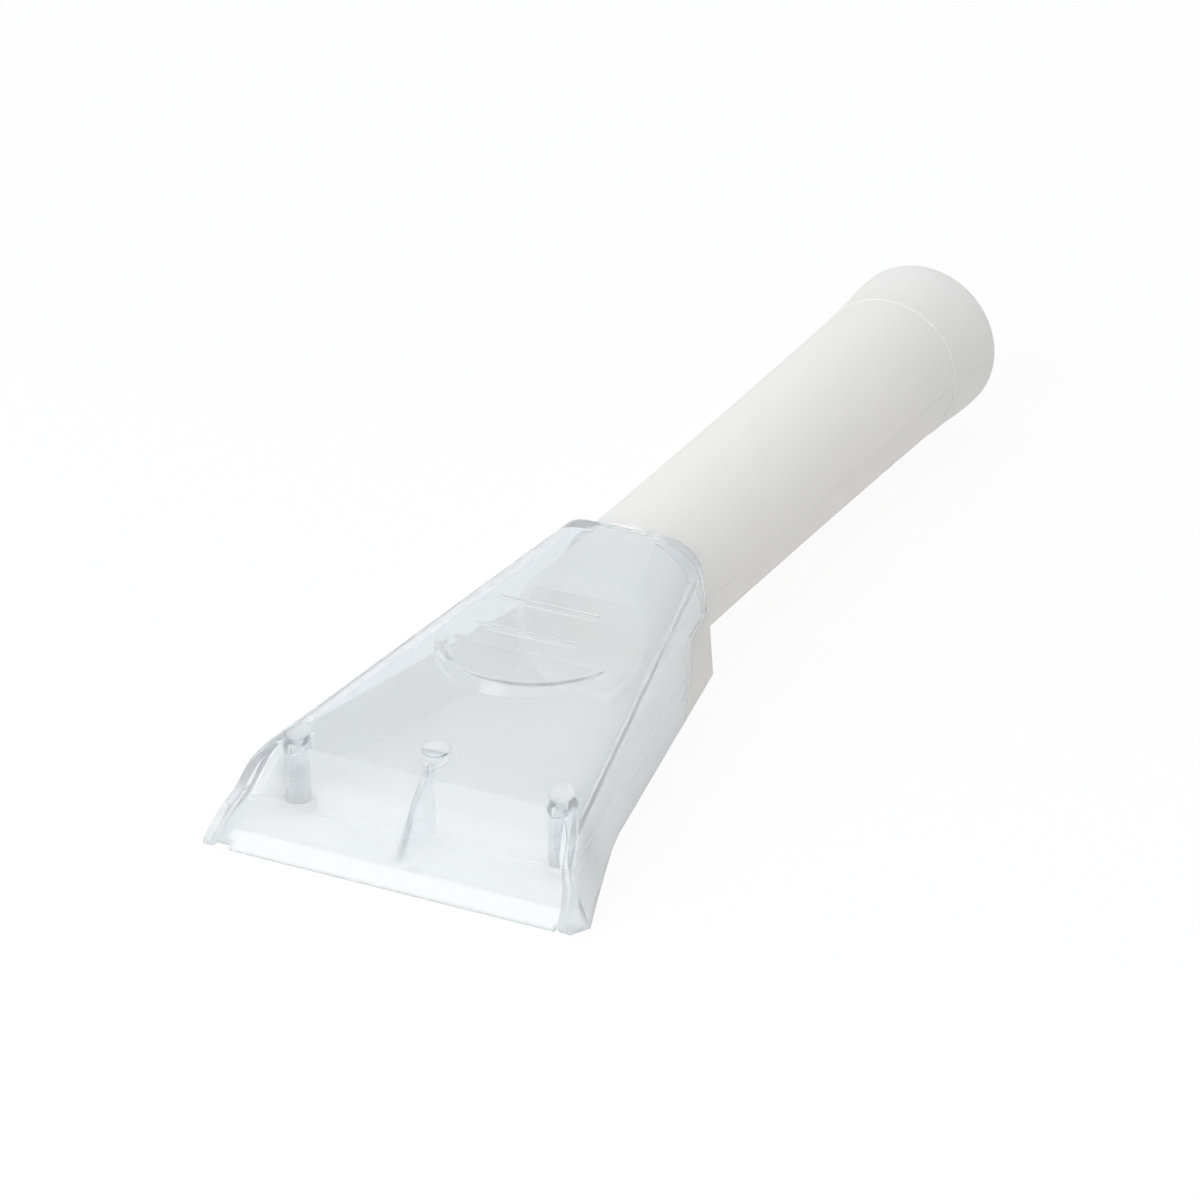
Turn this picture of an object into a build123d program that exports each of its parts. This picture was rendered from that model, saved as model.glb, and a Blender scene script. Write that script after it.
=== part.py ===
"""Extractor hand nozzle: a moulded body with its hose tube, a clear cover and two cover screws."""

import math
import os

from build123d import *

# Sizes are in millimetres. The origin is the centre of the hose socket's mouth, and Y runs out of it.
# Stations along the nozzle are lengths behind the front lip, and heights are from the tube's axis.
overall_length = 301.2

# Hose socket, tube and spigot
socket_radius = 19.1
socket_depth = 22.0
collar_wall = 2.5
collar_foot_wall = 1.5
collar_length = 24.8
collar_flare_length = 22.0
collar_rim_radius = 1.2
tube_radius_at_collar = 20.3
tube_radius_at_head = 18.8
tube_waist_sag = 0.35
tube_wall = 2.3
spigot_radius = 17.4
spigot_wall = 2.2
spigot_front = 96.0
spigot_corner_radius = 5.0

# Head outline
cover_rear = 121.6
cover_rear_height = 18.1
top_slope = 8.7
half_width_front = 40.5
half_width_rear = 19.1
side_draft = 4.4
edge_radius_front = 6.0
edge_radius_rear = 9.0
lip_drop = 22.0
lip_half_width = 41.6
bend = 16.5
bend_radius = 26.0
wing_reach = 3.7
wing_tip_drop = 19.6
wing_tuck = 0.5
wing_corner_radius = 1.6
heel = 6.0
heel_drop = 21.7
heel_flare = 4.8
flare_start = 46.0
flare_root_drop = 8.0
flare_root_tuck = 0.3
floor_drop = 18.4
floor_bend = 35.0
parting_drop = 1.0
cradle_front_top = 109.3
cradle_front_bottom = 101.5
cradle_rear = 126.0

# Walls, fits and the mouth
cover_wall = 2.2
body_wall = 2.0
seat_clearance = 0.25
mouth_rear = 10.0
mouth_rear_drop = 21.2
lip_edge_radius = 0.9

# Raised pad, lines of the bare label field, gate mark and inner fin on the cover
pad_centre = 73.0
pad_radius = 25.5
pad_rise = 3.0
pad_side_slope = 40.0
label_centre = 79.3
label_offset = -2.5
label_length = 26.0
label_width = 12.0
label_line_width = 0.6
label_line_height = 0.25
gate_station = 24.2
gate_radius = 3.2
gate_height = 0.4
fin_thickness = 1.6
fin_rear = 22.5
fin_drop = 17.0

# Screws with their bosses and pads
screw_x = 34.0
screw_station = 20.3
screw_core_radius = 1.1
screw_length = 13.0
screw_point_length = 2.4
screw_head_radius = 2.8
screw_head_height = 2.1
screw_crown_chamfer = 0.8
screw_recess_length = 3.2
screw_recess_width = 0.8
screw_recess_depth = 1.2
screw_seat_drop = 17.2
boss_radius = 2.9
boss_root_slope = 40.0
pilot_clearance = 0.05
pilot_extra_depth = 1.8
screw_hole_clearance = 0.6
screw_head_clearance = 0.35
pad_height_over_seat = 1.6
pad_wall = 1.0

# Worked-out values
wide = 2 * half_width_front
collar_radius = socket_radius + collar_wall
slope_rise = math.tan(math.radians(top_slope))
draft_rise = math.tan(math.radians(side_draft))
boss_foot = -screw_seat_drop + pad_height_over_seat
spigot_bore_radius = spigot_radius - spigot_wall


def behind_lip(station):
    """Y of a station behind the front lip."""
    return station - overall_length


def top_height(station):
    """Height of the cover's sloping top over the tube's axis at a station."""
    return cover_rear_height + (station - cover_rear) * slope_rise


def half_width(station, height):
    """Half-width of the head between its drafted sides at a station and a height."""
    taper = (half_width_front - half_width_rear) / (cover_rear - bend)
    return half_width_rear + (cover_rear - station) * taper + (top_height(station) - height) * draft_rise


def edge_radius(station):
    """Radius of the head's long upper edges at a station."""
    growth = (edge_radius_rear - edge_radius_front) / (cover_rear - bend)
    return edge_radius_rear + (station - cover_rear) * growth


def cover_rear_station(height):
    """Station of the cover's rear edge, which stands square to its sloping top, at a height."""
    return cover_rear + (cover_rear_height - height) * slope_rise


def front_station(height):
    """Station of the front wall's outer face at a height."""
    return bend * (height + lip_drop) / (top_height(bend) + lip_drop)


def floor_height(station):
    """Height of the body's underside at a station ahead of its level part."""
    share = (station - mouth_rear) / (floor_bend - mouth_rear)
    return -mouth_rear_drop + share * (mouth_rear_drop - floor_drop)


def head_section(station, inset, low, high, tuck_low=0.0, tuck_high=0.0, corner=0.0):
    """Draw the head's section between two heights, its sides drawn in and its upper corners rounded."""
    lower = half_width(station, low) - inset - tuck_low
    upper = half_width(station, high) - inset - tuck_high
    with BuildSketch(Plane.XZ.offset(-behind_lip(station))) as section:
        with BuildLine():
            Polyline((-lower, low), (lower, low), (upper, high), (-upper, high), close=True)
        make_face()
        if corner:
            fillet(section.vertices().group_by(Axis.Y)[-1], radius=corner)
    return section.sketch


def head_block(inset, top_inset):
    """Loft the head's outline, drawn in at its sides and its top, and add the flare of its wings."""
    bottom = -lip_drop - cover_wall
    ends = []
    for station in (-2 * wing_reach, cradle_rear + cover_wall):
        top = top_height(station) - top_inset
        corner = max(edge_radius(station) - inset, cover_wall / 2)
        ends.append(head_section(station, inset, bottom, top, corner=corner))
    loft(ends, ruled=True)
    flares = {-2 * wing_reach: -wing_tuck, heel: heel_flare, flare_start: -flare_root_tuck}
    wings = []
    for station, flare in flares.items():
        wings.append(head_section(station, inset, bottom, -flare_root_drop, -flare, flare_root_tuck))
    loft(wings, ruled=True)


def side_outline(points, mode, reach=wide):
    """Extrude a side view, given as stations and heights, equally to both sides."""
    with BuildSketch(Plane.YZ) as outline:
        with BuildLine():
            Polyline([(behind_lip(station), height) for station, height in points], close=True)
        make_face()
    extrude(outline.sketch, amount=reach, both=True, mode=mode)


def screw_discs(height, radius, amount, mode, taper=0.0):
    """Extrude a disc on each screw's axis from a height."""
    with BuildSketch(Plane.XY.offset(height)) as discs:
        with Locations((-screw_x, behind_lip(screw_station)), (screw_x, behind_lip(screw_station))):
            Circle(radius)
    extrude(discs.sketch, amount=amount, taper=taper, mode=mode)


# Front wall in side view: its outer face, then its inner face one wall behind it
front_lean = math.hypot(bend, top_height(bend) + lip_drop) / (top_height(bend) + lip_drop)
front_depth = cover_wall * front_lean
front_top = top_height(bend) - cover_wall / 2
front_foot = -wing_tip_drop - (heel_drop - wing_tip_drop) * wing_reach / (wing_reach + heel)
front_slant = bend / (top_height(bend) + lip_drop)
bend_turn = math.pi / 2 - math.atan(front_slant) - math.radians(top_slope)
bend_end = bend + bend_radius * math.tan(bend_turn / 2) + cover_wall
pad_front = pad_centre - pad_radius
pad_top = top_height(pad_front) + pad_rise
top_plane = Plane(origin=(0, behind_lip(cover_rear), cover_rear_height), x_dir=(1, 0, 0),
                  z_dir=(0, -math.sin(math.radians(top_slope)), math.cos(math.radians(top_slope))))


def behind_front_wall(gap, mode):
    """Extrude the side view of the room behind the front wall and its bend, set back by a gap."""
    depth = front_depth + gap * front_lean
    ceiling = cover_wall + gap
    corner = bend + (depth - front_slant * ceiling) / (1 - front_slant * slope_rise)
    low = -lip_drop - cover_wall
    with BuildSketch(Plane.YZ) as room:
        with BuildLine():
            foot = (behind_lip(front_station(low) + depth), low)
            roof = (behind_lip(cradle_rear), top_height(cradle_rear) - ceiling)
            FilletPolyline(foot, (behind_lip(corner), top_height(corner) - ceiling), roof,
                           radius=bend_radius - ceiling)
            Polyline(roof, (behind_lip(cradle_rear), low), foot)
        make_face()
    extrude(room.sketch, amount=wide, both=True, mode=mode)


def along_top(station):
    """Distance on the sloping top plane from its rear origin to a station."""
    return (station - cover_rear) / math.cos(math.radians(top_slope))


def thumb_pad(inset):
    """Make the pad's wedge: a cone standing on the sloping top, cut level at the pad's height."""
    level = pad_top - inset
    root = -cover_wall / 2 - inset
    front = pad_front - pad_rise
    runout = cover_rear + (level - root - cover_rear_height) / slope_rise
    side_outline([(front, top_height(front) + root), (runout, level), (front, level)], Mode.ADD)
    with BuildSketch(Plane.XY.offset(top_height(pad_front) - cover_wall - inset)) as base:
        with Locations((0, behind_lip(pad_centre))):
            Circle(pad_radius + cover_wall * math.tan(math.radians(pad_side_slope)) - inset)
    extrude(base.sketch, amount=pad_rise + 2 * cover_wall, taper=pad_side_slope, mode=Mode.INTERSECT)


with BuildPart() as pad_outside:
    thumb_pad(0)

with BuildPart() as pad_inside:
    thumb_pad(cover_wall)

with BuildPart() as cover_cavity:
    head_block(cover_wall, cover_wall)

with BuildPart() as wall_core:
    head_block(cover_wall / 2, cover_wall / 2)

# Front wall, rear wall, bosses and fin, which all end inside the cover's skin
with BuildPart() as cover_ribs:
    side_outline([(front_station(front_top), front_top), (front_station(front_foot), front_foot),
                  (bend_end, front_foot), (bend_end, top_height(bend_end) - cover_wall / 2)], Mode.ADD)
    behind_front_wall(0, Mode.SUBTRACT)
    rear_top = cover_rear_height + cover_wall
    side_outline([(cover_rear_station(rear_top), rear_top),
                  (cover_rear_station(-parting_drop), -parting_drop),
                  (cover_rear_station(-parting_drop) - cover_wall, -parting_drop),
                  (cover_rear_station(rear_top) - cover_wall, rear_top)], Mode.ADD)
    with BuildSketch(Plane.XZ.offset(-behind_lip(cover_rear_station(-parting_drop)) - cover_wall)):
        Circle(spigot_radius + seat_clearance)
    extrude(amount=4 * cover_wall, mode=Mode.SUBTRACT)
    screw_discs(boss_foot, boss_radius, top_height(screw_station) - boss_foot, Mode.ADD)
    screw_discs(-parting_drop, boss_radius, cover_wall, Mode.ADD, taper=-boss_root_slope)
    side_outline([(front_station(-fin_drop) + front_depth / 2, -fin_drop), (fin_rear, -fin_drop),
                  (fin_rear, top_height(fin_rear)), (front_station(front_top), front_top)],
                 Mode.ADD, reach=fin_thickness / 2)
    add(wall_core.part, mode=Mode.INTERSECT)
    screw_discs(boss_foot, screw_core_radius + pilot_clearance,
                screw_length - pad_height_over_seat + pilot_extra_depth, Mode.SUBTRACT)

with BuildPart() as front_lip:
    lip_top = front_foot + cover_wall
    with BuildSketch(Plane.YZ) as lip_section:
        with BuildLine():
            Polyline((behind_lip(front_station(lip_top)), lip_top), (behind_lip(0), -lip_drop),
                     (behind_lip(front_depth), -lip_drop),
                     (behind_lip(front_station(lip_top) + front_depth), lip_top), close=True)
        make_face()
        fillet(lip_section.vertices().group_by(Axis.Y)[0], radius=lip_edge_radius)
    extrude(amount=lip_half_width, both=True)

with BuildPart() as clear_cover:
    head_block(0, 0)
    add(pad_outside.part)
    add(cover_cavity.part, mode=Mode.SUBTRACT)
    add(pad_inside.part, mode=Mode.SUBTRACT)
    # Side view: bend, sloping wings, sides that stop at the parting, and the step round the body's cradle
    rim_top = pad_top + cover_rear_height
    with BuildSketch(Plane.YZ) as side_view:
        with BuildLine():
            wing_tip = (behind_lip(-wing_reach), -wing_tip_drop)
            wing_heel = (behind_lip(heel), -heel_drop)
            bend_corner = (behind_lip(bend), top_height(bend))
            brow = (behind_lip(pad_front), top_height(pad_front) + seat_clearance)
            FilletPolyline(wing_tip, bend_corner, brow, radius=bend_radius)
            Polyline(brow, (behind_lip(pad_front) - pad_rise, rim_top),
                     (behind_lip(cover_rear_station(rim_top)), rim_top),
                     (behind_lip(cover_rear_station(-parting_drop)), -parting_drop),
                     (behind_lip(cradle_front_top), -parting_drop),
                     (behind_lip(cradle_front_bottom), -floor_drop),
                     (behind_lip(floor_bend), -floor_drop), wing_heel, wing_tip)
        make_face()
        for corner in (wing_tip, wing_heel):
            fillet(side_view.vertices().sort_by_distance(corner)[0], radius=wing_corner_radius)
    extrude(amount=wide, both=True, mode=Mode.INTERSECT)
    add(cover_ribs.part)
    add(front_lip.part)
    with BuildSketch(top_plane):
        with Locations((0, along_top(gate_station))):
            Circle(gate_radius)
    extrude(amount=gate_height)
    with BuildSketch(top_plane):
        with Locations((label_offset, along_top(label_centre))):
            with GridLocations(0, label_width, 1, 2):
                Rectangle(label_length, label_line_width)
    extrude(amount=label_line_height)
clear_cover.part.label = "clear_cover"

# Trough of the body, which nests inside the cover's sides
trough_inset = cover_wall + seat_clearance
trough_top = -parting_drop - seat_clearance
trough_toe = -wing_tip_drop + cover_wall
floor_front = (mouth_rear, -mouth_rear_drop)
floor_kink = (floor_bend, -floor_drop)
cradle_face = cradle_front_bottom + cover_wall

with BuildPart() as trough:
    head_block(trough_inset, trough_inset)
    side_outline([(0, trough_top), (0, trough_toe), (front_station(trough_toe) + front_depth, trough_toe),
                  floor_front, floor_kink, (cradle_rear - body_wall, -floor_drop),
                  (cradle_rear - body_wall, trough_top)], Mode.INTERSECT)
    behind_front_wall(seat_clearance, Mode.INTERSECT)

with BuildPart() as trough_space:
    head_block(trough_inset + body_wall, 0)
    side_outline([(-wing_reach, cover_rear_height), (-wing_reach, -mouth_rear_drop + body_wall),
                  (mouth_rear, -mouth_rear_drop + body_wall), (floor_bend, -floor_drop + body_wall),
                  (cradle_face, -floor_drop + body_wall), (cradle_face, cover_rear_height)], Mode.INTERSECT)

# Cradle under the tube, flush with the cover's sides, and the pockets that core out its lower corners
cradle_slant = (cradle_front_top - cradle_front_bottom) / (floor_drop - parting_drop)
cradle_gap = seat_clearance * math.hypot(1, cradle_slant)

with BuildPart() as cradle:
    head_block(0, 0)
    side_outline([(cradle_front_top + cradle_gap, trough_top), (cradle_rear, trough_top),
                  (cradle_rear, -floor_drop), (cradle_front_bottom + cradle_gap, -floor_drop)],
                 Mode.INTERSECT)

with BuildPart() as corner_pockets:
    head_block(body_wall, body_wall)
    pocket_front = cradle_front_top + body_wall
    side_outline([(pocket_front, trough_top - body_wall),
                  (cradle_rear + body_wall, trough_top - body_wall),
                  (cradle_rear + body_wall, -floor_drop + body_wall),
                  (pocket_front, -floor_drop + body_wall)], Mode.INTERSECT)
    with BuildSketch(Plane.XZ.offset(-behind_lip(pocket_front))):
        Circle(tube_radius_at_head)
    extrude(amount=-cradle_rear, mode=Mode.SUBTRACT)

# Spigot: the tube's own end, flattened to lie under the cover's sloping top, and the roof that closes it
bore_at_collar = tube_radius_at_collar - tube_wall
bore_at_head = tube_radius_at_head - tube_wall
roof_inset = trough_inset + spigot_wall
roof_runout = cover_rear + (bore_at_collar + roof_inset - cover_rear_height) / slope_rise + spigot_wall

with BuildPart() as spigot:
    spigot_top = top_height(spigot_front) - trough_inset
    with BuildSketch(Plane.XZ.offset(-behind_lip(spigot_front))):
        Circle(spigot_radius)
    extrude(amount=spigot_front - cradle_rear)
    with BuildSketch(Plane.YZ) as spigot_side:
        with BuildLine():
            Polyline((behind_lip(spigot_front), -collar_radius), (behind_lip(spigot_front), spigot_top),
                     (behind_lip(cradle_rear), top_height(cradle_rear) - trough_inset),
                     (behind_lip(cradle_rear), -collar_radius), close=True)
        make_face()
        front_corner = spigot_side.vertices().sort_by_distance((behind_lip(spigot_front), spigot_top))[0]
        fillet(front_corner, radius=spigot_corner_radius)
    extrude(amount=collar_radius, both=True, mode=Mode.INTERSECT)

with BuildPart() as spigot_roof:
    roof_front = spigot_front + spigot_corner_radius
    roof_brow = spigot_front + spigot_wall / 2
    with BuildSketch(Plane.XZ.offset(-behind_lip(spigot_front))):
        Circle(spigot_radius)
    extrude(amount=spigot_front - roof_runout)
    side_outline([(roof_front, top_height(roof_front) - trough_inset),
                  (roof_runout, top_height(roof_runout) - trough_inset),
                  (roof_runout, top_height(roof_runout) - roof_inset),
                  (roof_brow, top_height(roof_brow) - roof_inset)], Mode.INTERSECT)

with BuildPart() as nozzle_body:
    add(trough.part)
    add(cradle.part)
    # Tube and collar
    tube_end = behind_lip(cover_rear - cover_wall)
    ring = -collar_length
    flare_end = ring + collar_flare_length
    waist = ((tube_radius_at_head + tube_radius_at_collar) / 2 - tube_waist_sag, (tube_end + ring) / 2)
    with BuildSketch() as tube_section:
        with BuildLine():
            ThreePointArc((tube_radius_at_head, tube_end), waist, (tube_radius_at_collar, ring))
            Line((tube_radius_at_collar, ring), (socket_radius + collar_foot_wall, ring))
            Spline((socket_radius + collar_foot_wall, ring), (collar_radius, flare_end),
                   tangents=[(0, 1), (0, 1)])
            Polyline((collar_radius, flare_end), (collar_radius, 0), (0, 0), (0, tube_end),
                     (tube_radius_at_head, tube_end))
        make_face()
        rim = tube_section.vertices().sort_by_distance((collar_radius, 0))[0]
        fillet(rim, radius=collar_rim_radius)
    revolve(axis=Axis.Y)
    # Room for the cover's rear edge, which the tube's shoulder follows
    shoulder_top = collar_radius + cover_wall
    side_outline([(cover_rear_station(trough_top) + seat_clearance, trough_top),
                  (cover_rear_station(shoulder_top) + seat_clearance, shoulder_top),
                  (spigot_front, shoulder_top), (spigot_front, trough_top)], Mode.SUBTRACT)
    add(trough_space.part, mode=Mode.SUBTRACT)
    add(corner_pockets.part, mode=Mode.SUBTRACT)
    add(spigot.part)
    # Bore: hose socket with its stop, then the tapering duct
    stop = -socket_depth
    with BuildSketch():
        with BuildLine():
            Polyline((0, 0), (socket_radius, 0), (socket_radius, stop), (bore_at_collar, stop),
                     (bore_at_head, behind_lip(cradle_rear)),
                     (spigot_bore_radius, behind_lip(cradle_front_top)),
                     (spigot_bore_radius, behind_lip(spigot_front) - spigot_wall),
                     (0, behind_lip(spigot_front) - spigot_wall), close=True)
        make_face()
    revolve(axis=Axis.Y, mode=Mode.SUBTRACT)
    add(spigot_roof.part)
    # Screw pads, room for the cover's bosses, and the holes for the screws
    pad_foot = floor_height(screw_station) + body_wall / 2
    head_hole_radius = screw_head_radius + screw_head_clearance
    screw_discs(pad_foot, head_hole_radius + pad_wall, boss_foot - pad_foot, Mode.ADD)
    screw_discs(boss_foot, boss_radius + seat_clearance, -boss_foot, Mode.SUBTRACT)
    screw_discs(-screw_seat_drop, head_hole_radius, -floor_drop, Mode.SUBTRACT)
    screw_discs(-screw_seat_drop, screw_core_radius + screw_hole_clearance, screw_length, Mode.SUBTRACT)
nozzle_body.part.label = "nozzle_body"

# Pan-head screws, driven up from below
with BuildPart() as cover_screws:
    screw_plane = Plane(origin=(screw_x, behind_lip(screw_station), -screw_seat_drop), x_dir=(1, 0, 0),
                        z_dir=(0, -1, 0))
    with BuildSketch(screw_plane) as screw_section:
        with BuildLine():
            Polyline((0, -screw_head_height), (screw_head_radius, -screw_head_height),
                     (screw_head_radius, 0),
                     (screw_core_radius, 0), (screw_core_radius, screw_length - screw_point_length),
                     (0, screw_length), close=True)
        make_face()
        crown = screw_section.vertices().sort_by_distance((screw_head_radius, -screw_head_height))[0]
        chamfer(crown, length=screw_crown_chamfer)
    revolve(axis=Axis((screw_x, behind_lip(screw_station), 0), (0, 0, 1)))
    with BuildSketch(Plane.XY.offset(-screw_seat_drop - screw_head_height)):
        with Locations((screw_x, behind_lip(screw_station))):
            Rectangle(screw_recess_length, screw_recess_width)
            Rectangle(screw_recess_width, screw_recess_length)
    extrude(amount=screw_recess_depth, mode=Mode.SUBTRACT)
    mirror(about=Plane.YZ)
cover_screws.part.label = "cover_screws"

os.makedirs("parts", exist_ok=True)
export_step(nozzle_body.part, "parts/nozzle_body.step")
export_step(clear_cover.part, "parts/clear_cover.step")
export_step(cover_screws.part, "parts/cover_screws.step")
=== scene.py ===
"""Looks of an extractor hand nozzle: milky moulded body, clear screwed cover, screws, studio and camera."""

import logging
import math
from dataclasses import dataclass
from enum import Enum
from typing import Any, Optional

import bmesh
import bpy
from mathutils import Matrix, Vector


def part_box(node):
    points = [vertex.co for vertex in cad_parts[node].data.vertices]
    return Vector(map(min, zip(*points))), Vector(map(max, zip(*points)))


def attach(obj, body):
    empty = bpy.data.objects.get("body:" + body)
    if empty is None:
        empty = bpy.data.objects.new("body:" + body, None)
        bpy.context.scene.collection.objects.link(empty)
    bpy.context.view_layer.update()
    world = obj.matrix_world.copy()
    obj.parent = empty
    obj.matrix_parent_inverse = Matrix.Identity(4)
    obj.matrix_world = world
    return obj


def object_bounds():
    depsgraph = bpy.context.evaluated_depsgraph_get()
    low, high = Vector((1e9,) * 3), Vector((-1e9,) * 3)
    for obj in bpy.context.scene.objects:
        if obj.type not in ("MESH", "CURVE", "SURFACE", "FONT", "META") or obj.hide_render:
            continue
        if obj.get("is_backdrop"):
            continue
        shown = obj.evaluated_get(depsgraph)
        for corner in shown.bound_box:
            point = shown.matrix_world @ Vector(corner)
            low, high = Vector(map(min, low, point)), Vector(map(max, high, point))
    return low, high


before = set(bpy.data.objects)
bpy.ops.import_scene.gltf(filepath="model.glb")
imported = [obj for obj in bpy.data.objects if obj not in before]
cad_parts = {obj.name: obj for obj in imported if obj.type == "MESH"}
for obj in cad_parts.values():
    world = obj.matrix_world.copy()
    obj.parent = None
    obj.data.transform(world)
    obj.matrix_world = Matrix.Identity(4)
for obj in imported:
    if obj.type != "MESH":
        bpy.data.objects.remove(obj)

MM = 0.001
ROOT = "root"
SCREW_HEAD_RADIUS_MM = 2.8

log = logging.getLogger("nozzle")


class Node(Enum):
    """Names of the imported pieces."""

    BODY = "nozzle_body"
    COVER = "clear_cover"
    SCREWS = "cover_screws"


class Slot(Enum):
    """Names of the record's material slots."""

    STEEL = "screw_steel"


def linear(hex_colour: str) -> tuple[float, float, float, float]:
    """Turn an sRGB hex colour into linear light.

    Args:
        hex_colour: Colour as "#RRGGBB".

    Returns:
        Red, green, blue and an alpha of 1.
    """
    shares = [int(hex_colour[start:start + 2], 16) / 255 for start in (1, 3, 5)]
    lights = [s / 12.92 if s <= 0.04045 else ((s + 0.055) / 1.055) ** 2.4 for s in shares]
    return (lights[0], lights[1], lights[2], 1.0)


def add_node(
    tree: bpy.types.NodeTree,
    kind: str,
    settings: Optional[dict[str, Any]] = None,
    values: Optional[dict[Any, Any]] = None,
    links: Optional[dict[Any, bpy.types.NodeSocket]] = None,
) -> bpy.types.Node:
    """Add a shader node with its settings, input values and incoming links.

    Args:
        tree: Node tree that takes the node.
        kind: Blender's name of the node type.
        settings: Attributes of the node.
        values: Input socket names or numbers to constant values.
        links: Input socket names or numbers to the output sockets that feed them.

    Returns:
        The new node.
    """
    node = tree.nodes.new(kind)
    for name, value in (settings or {}).items():
        setattr(node, name, value)
    for socket, value in (values or {}).items():
        node.inputs[socket].default_value = value
    for socket, source in (links or {}).items():
        tree.links.new(source, node.inputs[socket])
    return node


def new_material(name: str) -> tuple[bpy.types.Material, bpy.types.NodeTree, bpy.types.Node]:
    """Make an empty node material.

    Args:
        name: Name of the material.

    Returns:
        The material, its node tree and its output node.
    """
    material = bpy.data.materials.new(name)
    material.use_nodes = True
    material.node_tree.nodes.clear()
    output = add_node(material.node_tree, "ShaderNodeOutputMaterial")
    return material, material.node_tree, output


def dress(piece: bpy.types.Object, material: bpy.types.Material) -> None:
    """Give a piece one material in all its slots."""
    if not piece.material_slots:
        piece.data.materials.append(material)
    for place in piece.material_slots:
        place.material = material


def screw_axis() -> tuple[float, float]:
    """Return X and Y of the right screw's axis, in metres. The left screw is its mirror image."""
    low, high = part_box(Node.SCREWS.value)
    return high.x - SCREW_HEAD_RADIUS_MM * MM, (low.y + high.y) / 2


@dataclass(frozen=True)
class NaturalPolypropylene:
    """Natural polypropylene, injection moulded: milky, waxy, light soaks a few millimetres into it."""

    name: str = "natural_polypropylene_moulded"
    colour: str = "#FCFBFA"
    cloud_colour: str = "#FAFAF9"
    cloud_mm: float = 60.0
    scatter_depth_mm: float = 4.0
    scatter_weight: float = 0.8
    passing_light: float = 0.5
    refraction: float = 1.49
    roughness: float = 0.42
    grain_mm: float = 1.1
    grain_height_mm: float = 0.004
    seam_half_mm: float = 0.3
    seam_height_mm: float = 0.12
    collar_foot_mm: float = -25.0

    def build(self) -> bpy.types.Material:
        """Return the material: soft clouds in a scattering base under a fine tool grain."""
        material, tree, output = new_material(self.name)
        place = add_node(tree, "ShaderNodeTexCoord").outputs["Object"]
        clouds = add_node(
            tree, "ShaderNodeTexNoise",
            values={"Scale": 1 / (self.cloud_mm * MM), "Detail": 2.0},
            links={"Vector": place},
        )
        tint = add_node(
            tree, "ShaderNodeMix", settings={"data_type": "RGBA"},
            values={6: linear(self.colour), 7: linear(self.cloud_colour)},
            links={0: clouds.outputs["Fac"]},
        )
        grain = add_node(
            tree, "ShaderNodeTexNoise",
            values={"Scale": 1 / (self.grain_mm * MM), "Detail": 3.0},
            links={"Vector": place},
        )
        rough = add_node(
            tree, "ShaderNodeBump",
            values={"Strength": 0.5, "Distance": self.grain_height_mm * MM},
            links={"Height": grain.outputs["Fac"]},
        )
        bump = self.seams(tree, place, rough.outputs["Normal"])
        shader = add_node(
            tree, "ShaderNodeBsdfPrincipled",
            values={
                "Roughness": self.roughness,
                "IOR": self.refraction,
                "Subsurface Weight": self.scatter_weight,
                "Subsurface Radius": (1.0, 0.95, 0.9),
                "Subsurface Scale": self.scatter_depth_mm * MM,
            },
            links={"Base Color": tint.outputs[2], "Normal": bump.outputs["Normal"]},
        )
        through = add_node(
            tree, "ShaderNodeBsdfTranslucent",
            links={"Color": tint.outputs[2], "Normal": bump.outputs["Normal"]},
        )
        mixed = add_node(
            tree, "ShaderNodeMixShader",
            values={0: self.passing_light},
            links={1: shader.outputs["BSDF"], 2: through.outputs["BSDF"]},
        )
        tree.links.new(mixed.outputs[0], output.inputs["Surface"])
        return material

    def line(
        self, tree: bpy.types.NodeTree, distance: bpy.types.NodeSocket, place_mm: float
    ) -> bpy.types.NodeSocket:
        """Return 1 on a thin line at a place along one axis, fading to 0 beside it.

        Args:
            tree: Node tree that takes the nodes.
            distance: Coordinate along the axis.
            place_mm: Place of the line, in millimetres.

        Returns:
            The socket with the share.
        """
        offset = add_node(
            tree, "ShaderNodeMath", settings={"operation": "SUBTRACT"},
            values={1: place_mm * MM}, links={0: distance},
        )
        away = add_node(
            tree, "ShaderNodeMath", settings={"operation": "ABSOLUTE"}, links={0: offset.outputs[0]},
        )
        share = add_node(
            tree, "ShaderNodeMapRange", settings={"interpolation_type": "SMOOTHSTEP"},
            values={"From Min": self.seam_half_mm * MM, "From Max": 0.0},
            links={"Value": away.outputs[0]},
        )
        return share.outputs[0]

    def seams(
        self, tree: bpy.types.NodeTree, place: bpy.types.NodeSocket, normal: bpy.types.NodeSocket
    ) -> bpy.types.Node:
        """Raise the seam where the tool's halves meet, level with the axis, and sink the collar's foot.

        Args:
            tree: Node tree that takes the nodes.
            place: Object coordinates.
            normal: Normal under the seams.

        Returns:
            The bump node.
        """
        axes = add_node(tree, "ShaderNodeSeparateXYZ", links={0: place})
        height = add_node(
            tree, "ShaderNodeMath", settings={"operation": "SUBTRACT"},
            links={
                0: self.line(tree, axes.outputs["Z"], 0.0),
                1: self.line(tree, axes.outputs["Y"], self.collar_foot_mm),
            },
        )
        return add_node(
            tree, "ShaderNodeBump",
            values={"Strength": 1.0, "Distance": self.seam_height_mm * MM},
            links={"Height": height.outputs[0], "Normal": normal},
        )


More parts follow.
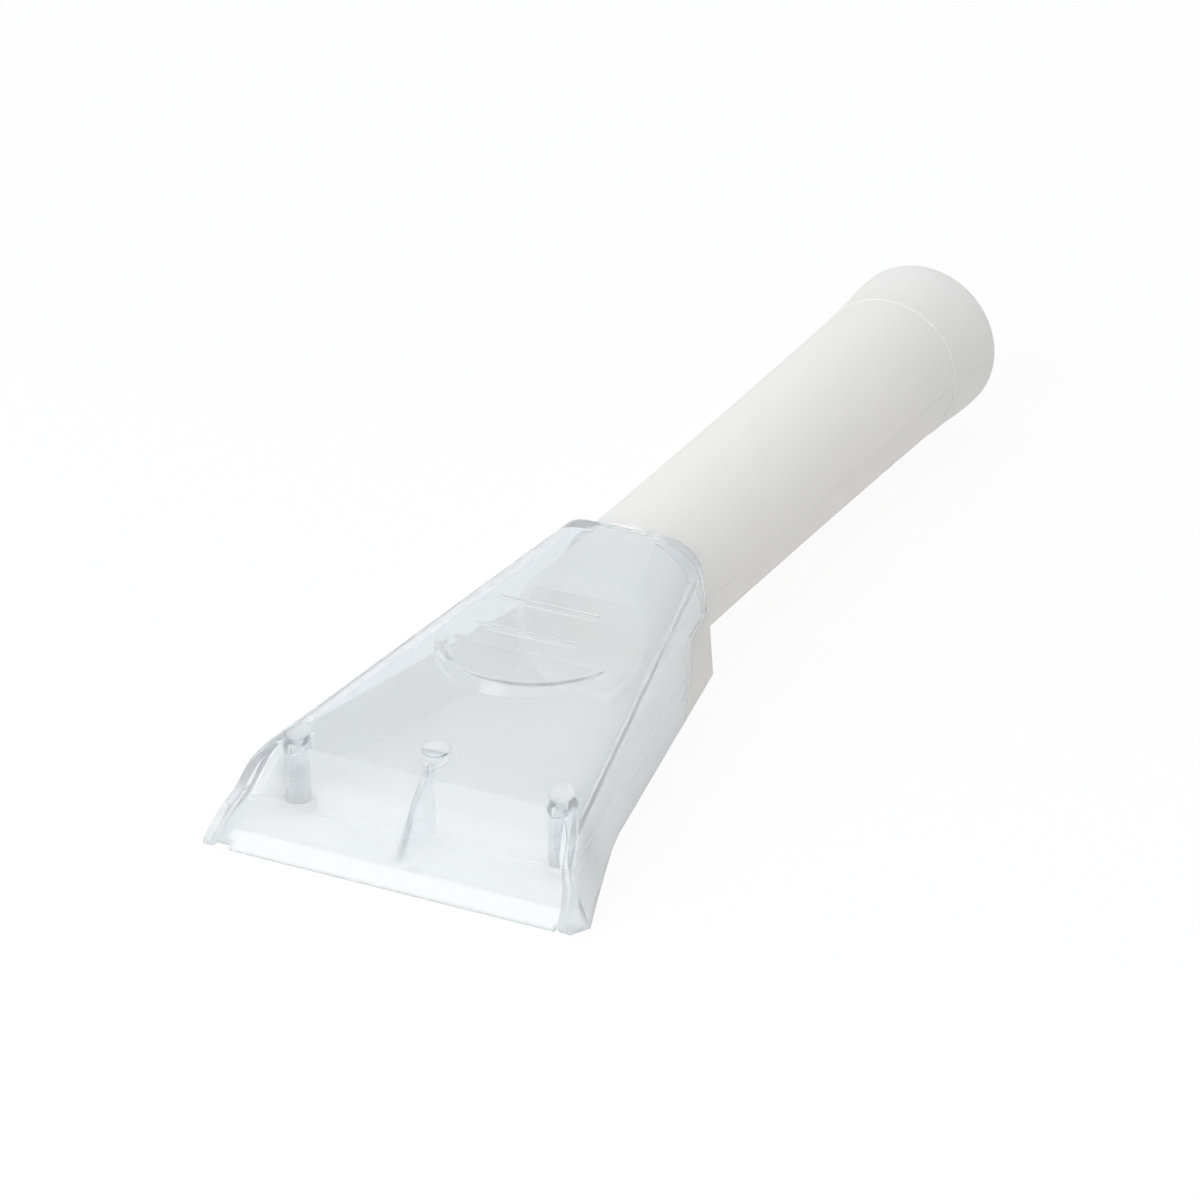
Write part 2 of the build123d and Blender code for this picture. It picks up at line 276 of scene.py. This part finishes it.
@dataclass(frozen=True)
class ClarifiedPolypropylene:
    """Clarified polypropylene, injection moulded: see-through, faintly blue, hazier towards the lip.

    The refraction is set weaker than the plastic's own 1.49, so that the inside shows as softly as in the
    photograph.
    """

    name: str = "clarified_polypropylene_moulded"
    colour: str = "#FBFDFE"
    depth_colour: str = "#C9DDE8"
    depth_density: float = 12.0
    haze: float = 0.2
    lip_haze: float = 0.42
    clear_above_mm: float = -8.0
    lip_mm: float = -21.0
    haze_passing: float = 0.5
    roughness: float = 0.05
    refraction: float = 1.3
    flow_mm: float = 14.0
    flow_height_mm: float = 0.02
    edge_round_mm: float = 0.7
    frost: float = 0.75
    line_places_mm: tuple[float, float] = (-227.83, -215.97)
    line_half_width_mm: float = 0.45
    line_middle_mm: float = -2.5
    line_half_length_mm: float = 13.0
    boss_radius_mm: float = 2.9
    sink_share: float = 0.5
    gate_radius_mm: float = 3.2
    gate_share: float = 0.8
    gate_place_mm: float = -277.0
    rim_share: float = 0.2

    def build(self) -> bpy.types.Material:
        """Return the material: hazy refracting shell with slow flow waves and a faint tint in its depth."""
        material, tree, output = new_material(self.name)
        place = add_node(tree, "ShaderNodeTexCoord").outputs["Object"]
        flow = add_node(
            tree, "ShaderNodeTexNoise",
            values={"Scale": 1 / (self.flow_mm * MM), "Detail": 1.0},
            links={"Vector": place},
        )
        edges = add_node(
            tree, "ShaderNodeBevel", settings={"samples": 6}, values={"Radius": self.edge_round_mm * MM},
        )
        waves = add_node(
            tree, "ShaderNodeBump",
            values={"Strength": 0.4, "Distance": self.flow_height_mm * MM},
            links={"Height": flow.outputs["Fac"], "Normal": edges.outputs["Normal"]},
        )
        shader = add_node(
            tree, "ShaderNodeBsdfPrincipled",
            values={
                "Base Color": linear(self.colour),
                "Roughness": self.roughness,
                "IOR": self.refraction,
                "Transmission Weight": 1.0,
            },
            links={"Normal": waves.outputs["Normal"]},
        )
        veil = add_node(
            tree, "ShaderNodeBsdfDiffuse",
            values={"Color": linear(self.colour)}, links={"Normal": waves.outputs["Normal"]},
        )
        glow = add_node(
            tree, "ShaderNodeBsdfTranslucent",
            values={"Color": linear(self.colour)}, links={"Normal": waves.outputs["Normal"]},
        )
        cloud = add_node(
            tree, "ShaderNodeMixShader",
            values={0: self.haze_passing}, links={1: veil.outputs["BSDF"], 2: glow.outputs["BSDF"]},
        )
        worn = add_node(
            tree, "ShaderNodeMapRange",
            values={
                "From Min": self.clear_above_mm * MM,
                "From Max": self.lip_mm * MM,
                "To Min": self.haze,
                "To Max": self.lip_haze,
            },
            links={"Value": add_node(tree, "ShaderNodeSeparateXYZ", links={0: place}).outputs["Z"]},
        )
        haze = add_node(
            tree, "ShaderNodeMapRange",
            values={"To Max": self.frost},
            links={"Value": self.matt_marks(tree, place), "To Min": worn.outputs[0]},
        )
        hazed = add_node(
            tree, "ShaderNodeMixShader",
            links={0: haze.outputs[0], 1: shader.outputs["BSDF"], 2: cloud.outputs[0]},
        )
        depth = add_node(
            tree, "ShaderNodeVolumeAbsorption",
            values={"Color": linear(self.depth_colour), "Density": self.depth_density},
        )
        tree.links.new(hazed.outputs[0], output.inputs["Surface"])
        tree.links.new(depth.outputs["Volume"], output.inputs["Volume"])
        return material

    def label_lines(self, tree: bpy.types.NodeTree, place: bpy.types.NodeSocket) -> bpy.types.NodeSocket:
        """Return 1 on the two raised label lines, which are spark eroded, and 0 elsewhere."""
        axes = add_node(tree, "ShaderNodeSeparateXYZ", links={0: place})
        rows = [
            add_node(
                tree, "ShaderNodeMath", settings={"operation": "COMPARE"},
                values={1: row * MM, 2: self.line_half_width_mm * MM}, links={0: axes.outputs["Y"]},
            )
            for row in self.line_places_mm
        ]
        either = add_node(
            tree, "ShaderNodeMath", settings={"operation": "MAXIMUM"},
            links={0: rows[0].outputs[0], 1: rows[1].outputs[0]},
        )
        within = add_node(
            tree, "ShaderNodeMath", settings={"operation": "COMPARE"},
            values={1: self.line_middle_mm * MM, 2: self.line_half_length_mm * MM},
            links={0: axes.outputs["X"]},
        )
        both = add_node(
            tree, "ShaderNodeMath", settings={"operation": "MULTIPLY"},
            links={0: either.outputs[0], 1: within.outputs[0]},
        )
        return both.outputs[0]

    def spot(
        self,
        tree: bpy.types.NodeTree,
        place: bpy.types.NodeSocket,
        centre: tuple[float, float],
        radius_mm: float,
        share: float,
    ) -> bpy.types.NodeSocket:
        """Return a share on a round spot and on its mirror image, fading to 0 at the rim.

        Args:
            tree: Node tree that takes the nodes.
            place: Object coordinates.
            centre: X and Y of the spot on the right, in metres.
            radius_mm: Radius of the spot, in millimetres.
            share: How matt the spot is, from 0 to 1.

        Returns:
            The socket with the share.
        """
        axes = add_node(tree, "ShaderNodeSeparateXYZ", links={0: place})
        beside = add_node(
            tree, "ShaderNodeMath", settings={"operation": "ABSOLUTE"}, links={0: axes.outputs["X"]},
        )
        flat = add_node(
            tree, "ShaderNodeCombineXYZ", links={"X": beside.outputs[0], "Y": axes.outputs["Y"]},
        )
        away = add_node(
            tree, "ShaderNodeVectorMath", settings={"operation": "DISTANCE"},
            values={1: (*centre, 0.0)}, links={0: flat.outputs[0]},
        )
        matt = add_node(
            tree, "ShaderNodeMapRange", settings={"interpolation_type": "SMOOTHSTEP"},
            values={
                "From Min": (1 + self.rim_share) * radius_mm * MM,
                "From Max": (1 - self.rim_share) * radius_mm * MM,
                "To Max": share,
            },
            links={"Value": away.outputs["Value"]},
        )
        return matt.outputs[0]

    def matt_marks(self, tree: bpy.types.NodeTree, place: bpy.types.NodeSocket) -> bpy.types.NodeSocket:
        """Return how matt the cover is to a ray from above, on label lines, boss sinks and the gate."""
        marks = self.label_lines(tree, place)
        for spot in (
            self.spot(tree, place, screw_axis(), self.boss_radius_mm, self.sink_share),
            self.spot(tree, place, (0.0, self.gate_place_mm * MM), self.gate_radius_mm, self.gate_share),
        ):
            both = add_node(
                tree, "ShaderNodeMath", settings={"operation": "MAXIMUM"}, links={0: marks, 1: spot},
            )
            marks = both.outputs[0]
        facing = add_node(
            tree, "ShaderNodeSeparateXYZ",
            links={0: add_node(tree, "ShaderNodeNewGeometry").outputs["True Normal"]},
        )
        from_above = add_node(
            tree, "ShaderNodeMath", settings={"operation": "GREATER_THAN"},
            values={1: 0.0}, links={0: facing.outputs["Z"]},
        )
        seen = add_node(
            tree, "ShaderNodeMath", settings={"operation": "MULTIPLY"},
            links={0: marks, 1: from_above.outputs[0]},
        )
        return seen.outputs[0]


@dataclass(frozen=True)
class ZincPlatedSteel:
    """Zinc-plated steel, cold headed and thread rolled: pale, slightly blue, softly shining."""

    name: str = "zinc_plated_steel_rolled"
    colour: str = "#CACCCD"
    dull_colour: str = "#B6B9BA"
    patch_mm: float = 1.5
    roughness: float = 0.34

    def build(self) -> bpy.types.Material:
        """Return the material: metal with faint uneven plating."""
        material, tree, output = new_material(self.name)
        place = add_node(tree, "ShaderNodeTexCoord").outputs["Object"]
        patches = add_node(
            tree, "ShaderNodeTexNoise",
            values={"Scale": 1 / (self.patch_mm * MM), "Detail": 4.0},
            links={"Vector": place},
        )
        tint = add_node(
            tree, "ShaderNodeMix", settings={"data_type": "RGBA"},
            values={6: linear(self.colour), 7: linear(self.dull_colour)},
            links={0: patches.outputs["Fac"]},
        )
        shader = add_node(
            tree, "ShaderNodeBsdfPrincipled",
            values={"Roughness": self.roughness, "Metallic": 1.0},
            links={"Base Color": tint.outputs[2]},
        )
        tree.links.new(shader.outputs["BSDF"], output.inputs["Surface"])
        return material


@dataclass
class ScrewThreads:
    """Rolled threads on the shanks of the two cover screws."""

    head_height_mm: float = 2.1
    core_radius_mm: float = 1.1
    crest_radius_mm: float = 1.45
    pitch_mm: float = 1.1
    length_mm: float = 12.4
    start_mm: float = 0.6
    point_mm: float = 2.2
    point_fade_mm: float = 2.6
    point_least_share: float = 0.12
    head_fade_mm: float = 0.96
    root_share: float = 0.96
    half_foot_share: float = 0.3
    steps_per_turn: int = 24

    def thread(self, axis_x: float, axis_y: float, seat_z: float) -> bpy.types.Mesh:
        """Sweep one ridge round and up a shank.

        Args:
            axis_x: X of the screw's axis, in metres.
            axis_y: Y of the screw's axis, in metres.
            seat_z: Height of the underside of the screw's head, in metres.

        Returns:
            The ridge as a mesh.
        """
        turns = (self.length_mm - self.start_mm) / self.pitch_mm
        steps = int(turns * self.steps_per_turn)
        root = self.core_radius_mm * self.root_share * MM
        crest = self.crest_radius_mm * MM
        half_foot = self.pitch_mm * self.half_foot_share * MM
        low = self.start_mm * MM
        shape = bmesh.new()
        foot = shape.verts.new((root, 0, low - half_foot))
        tip = shape.verts.new((crest, 0, low))
        crown = shape.verts.new((root, 0, low + half_foot))
        edges = [shape.edges.new(pair) for pair in ((foot, tip), (tip, crown), (crown, foot))]
        rise = Vector((0, 0, self.pitch_mm * MM / self.steps_per_turn))
        bmesh.ops.spin(
            shape, geom=[foot, tip, crown, *edges], cent=(0, 0, 0), axis=(0, 0, 1), dvec=rise,
            angle=math.tau * steps / self.steps_per_turn, steps=steps, use_merge=False,
        )
        self.fade_ends(shape)
        bmesh.ops.holes_fill(shape, edges=[e for e in shape.edges if e.is_boundary], sides=3)
        bmesh.ops.recalc_face_normals(shape, faces=shape.faces)
        bmesh.ops.translate(shape, verts=shape.verts, vec=(axis_x, axis_y, seat_z))
        mesh = bpy.data.meshes.new("screw_thread")
        shape.to_mesh(mesh)
        shape.free()
        return mesh

    def fade_ends(self, shape: bmesh.types.BMesh) -> None:
        """Draw the ridge down to the core at the head and along the point."""
        point_start = (self.length_mm - self.point_mm) * MM
        head_fade = self.head_fade_mm * MM
        for vert in shape.verts:
            radius = math.hypot(vert.co.x, vert.co.y)
            over = max(0.0, vert.co.z - point_start) / (self.point_fade_mm * MM)
            under = max(0.0, head_fade - vert.co.z) / head_fade
            share = max(self.point_least_share, 1.0 - over)
            reach = radius * share
            if radius > self.core_radius_mm * MM:
                reach -= (radius - self.core_radius_mm * MM) * min(1.0, under) * share
            vert.co.x *= reach / radius
            vert.co.y *= reach / radius

    def build(self, material: bpy.types.Material) -> bpy.types.Object:
        """Make both threads as one piece on the screws.

        Args:
            material: Finish of the threads.

        Returns:
            The piece.
        """
        axis_x, axis_y = screw_axis()
        seat_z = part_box(Node.SCREWS.value)[0].z + self.head_height_mm * MM
        shape = bmesh.new()
        for side in (-1, 1):
            shape.from_mesh(self.thread(side * axis_x, axis_y, seat_z))
        mesh = bpy.data.meshes.new("cover_screw_threads")
        shape.to_mesh(mesh)
        shape.free()
        for face in mesh.polygons:
            face.use_smooth = False
        piece = bpy.data.objects.new("cover_screw_threads", mesh)
        bpy.context.scene.collection.objects.link(piece)
        dress(piece, material)
        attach(piece, ROOT)
        return piece


@dataclass
class Studio:
    """White table and room, soft light from the front and left, and the camera at the photograph's place."""

    floor_colour: str = "#FFFFFF"
    floor_bounce_colour: str = "#C4C4C2"
    floor_glow: float = 0.92
    floor_half_m: float = 4.0
    sky_colour: str = "#FBFDFF"
    sky_light: float = 0.68
    sky_fall: float = 0.4
    key_power_w: float = 10.5
    key_size_m: float = 0.9
    key_place_m: tuple[float, float, float] = (-0.35, -1.3, 0.65)
    fill_power_w: float = 1.5
    fill_place_m: tuple[float, float, float] = (0.5, -1.05, 1.05)
    light_bounces: int = 32
    lens_mm: float = 150.0
    sensor_mm: float = 36.0
    azimuth_deg: float = 26.739
    elevation_deg: float = 25.812
    camera_place_mm: tuple[float, float, float] = (485.77, -1158.8, 527.6)

    def seen_share(self, tree: bpy.types.NodeTree) -> bpy.types.NodeSocket:
        """Return 1 for rays that show the backdrop to the eye, in a mirror or through clear plastic."""
        path = add_node(tree, "ShaderNodeLightPath")
        mirrored = add_node(
            tree, "ShaderNodeMath", settings={"operation": "MAXIMUM"},
            links={0: path.outputs["Is Camera Ray"], 1: path.outputs["Is Glossy Ray"]},
        )
        seen = add_node(
            tree, "ShaderNodeMath", settings={"operation": "MAXIMUM"},
            links={0: mirrored.outputs[0], 1: path.outputs["Is Transmission Ray"]},
        )
        return seen.outputs[0]

    def build_floor(self, height: float) -> None:
        """Lay the white table under the part.

        Args:
            height: Height of the table, in metres.
        """
        material, tree, output = new_material("white_table_laminate")
        seen = self.seen_share(tree)
        paint = add_node(
            tree, "ShaderNodeMix", settings={"data_type": "RGBA"},
            values={6: linear(self.floor_bounce_colour), 7: linear(self.floor_colour)}, links={0: seen},
        )
        matt = add_node(tree, "ShaderNodeBsdfDiffuse", links={"Color": paint.outputs[2]})
        glow = add_node(tree, "ShaderNodeEmission", values={"Color": (1, 1, 1, 1), "Strength": 1.0})
        share = add_node(
            tree, "ShaderNodeMath", settings={"operation": "MULTIPLY"},
            values={1: self.floor_glow}, links={0: seen},
        )
        mixed = add_node(
            tree, "ShaderNodeMixShader",
            links={0: share.outputs[0], 1: matt.outputs[0], 2: glow.outputs[0]},
        )
        tree.links.new(mixed.outputs[0], output.inputs["Surface"])
        shape = bmesh.new()
        bmesh.ops.create_grid(shape, x_segments=1, y_segments=1, size=self.floor_half_m)
        bmesh.ops.translate(shape, verts=shape.verts, vec=(0, 0, height))
        mesh = bpy.data.meshes.new("table")
        shape.to_mesh(mesh)
        shape.free()
        table = bpy.data.objects.new("table", mesh)
        bpy.context.scene.collection.objects.link(table)
        dress(table, material)
        table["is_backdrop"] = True

    def build_sky(self) -> None:
        """Light the room, more from the left, and show it white to the eye."""
        world = bpy.data.worlds.new("white_room")
        world.use_nodes = True
        tree = world.node_tree
        tree.nodes.clear()
        output = add_node(tree, "ShaderNodeOutputWorld")
        direction = add_node(tree, "ShaderNodeTexCoord").outputs["Generated"]
        axes = add_node(tree, "ShaderNodeSeparateXYZ", links={0: direction})
        light = add_node(
            tree, "ShaderNodeMapRange",
            values={
                "From Min": -1.0,
                "To Min": self.sky_light * (1 + self.sky_fall),
                "To Max": self.sky_light * (1 - self.sky_fall),
            },
            links={"Value": axes.outputs["X"]},
        )
        strength = add_node(
            tree, "ShaderNodeMix",
            values={3: 1.0}, links={0: self.seen_share(tree), 2: light.outputs[0]},
        )
        sky = add_node(
            tree, "ShaderNodeBackground",
            values={"Color": linear(self.sky_colour)}, links={"Strength": strength.outputs[0]},
        )
        tree.links.new(sky.outputs[0], output.inputs["Surface"])
        bpy.context.scene.world = world

    def build_soft_box(
        self, name: str, place: tuple[float, float, float], power: float, target: Vector
    ) -> None:
        """Hang a soft box.

        Args:
            name: Name of the soft box.
            place: Where it hangs, in metres.
            power: Light that it gives, in watts.
            target: Point that it looks at.
        """
        lamp = bpy.data.lights.new(name, "AREA")
        lamp.shape = "SQUARE"
        lamp.size = self.key_size_m
        lamp.energy = power
        holder = bpy.data.objects.new(name, lamp)
        holder.location = Vector(place)
        holder.rotation_mode = "QUATERNION"
        holder.rotation_quaternion = (target - holder.location).to_track_quat("-Z", "Y")
        bpy.context.scene.collection.objects.link(holder)

    def build_camera(self) -> None:
        """Put the camera at the photograph's viewing angle."""
        azimuth = math.radians(self.azimuth_deg)
        elevation = math.radians(self.elevation_deg)
        looking = Vector((
            -math.sin(azimuth) * math.cos(elevation),
            math.cos(azimuth) * math.cos(elevation),
            -math.sin(elevation),
        ))
        lens = bpy.data.cameras.new("camera")
        lens.lens = self.lens_mm
        lens.sensor_width = self.sensor_mm
        camera = bpy.data.objects.new("camera", lens)
        camera.location = Vector(self.camera_place_mm) * MM
        camera.rotation_mode = "QUATERNION"
        camera.rotation_quaternion = looking.to_track_quat("-Z", "Y")
        bpy.context.scene.collection.objects.link(camera)
        bpy.context.scene.camera = camera

    def build(self) -> None:
        """Set up the whole studio round the part."""
        low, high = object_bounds()
        self.build_floor(low.z)
        self.build_sky()
        middle = (low + high) / 2
        self.build_soft_box("key_box", self.key_place_m, self.key_power_w, middle)
        self.build_soft_box("fill_box", self.fill_place_m, self.fill_power_w, middle)
        self.build_camera()
        bpy.context.scene.view_settings.view_transform = "Standard"
        tracer = bpy.context.scene.cycles
        tracer.max_bounces = self.light_bounces
        tracer.diffuse_bounces = self.light_bounces
        tracer.glossy_bounces = self.light_bounces
        tracer.transmission_bounces = self.light_bounces


def main() -> None:
    """Dress the nozzle and set up its studio."""
    logging.basicConfig(level=logging.INFO, format="%(name)s: %(message)s")
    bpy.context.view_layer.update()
    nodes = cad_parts
    finishes = {
        Node.BODY: NaturalPolypropylene().build(),
        Node.COVER: ClarifiedPolypropylene().build(),
        Node.SCREWS: ZincPlatedSteel().build(),
    }
    for node, material in finishes.items():
        dress(nodes[node.value], material)
        log.info("%s wears %s", node.value, material.name)
    threads = ScrewThreads().build(finishes[Node.SCREWS])
    log.info("%s has %d faces", threads.name, len(threads.data.polygons))
    Studio().build()


if __name__ == "__main__":
    main()
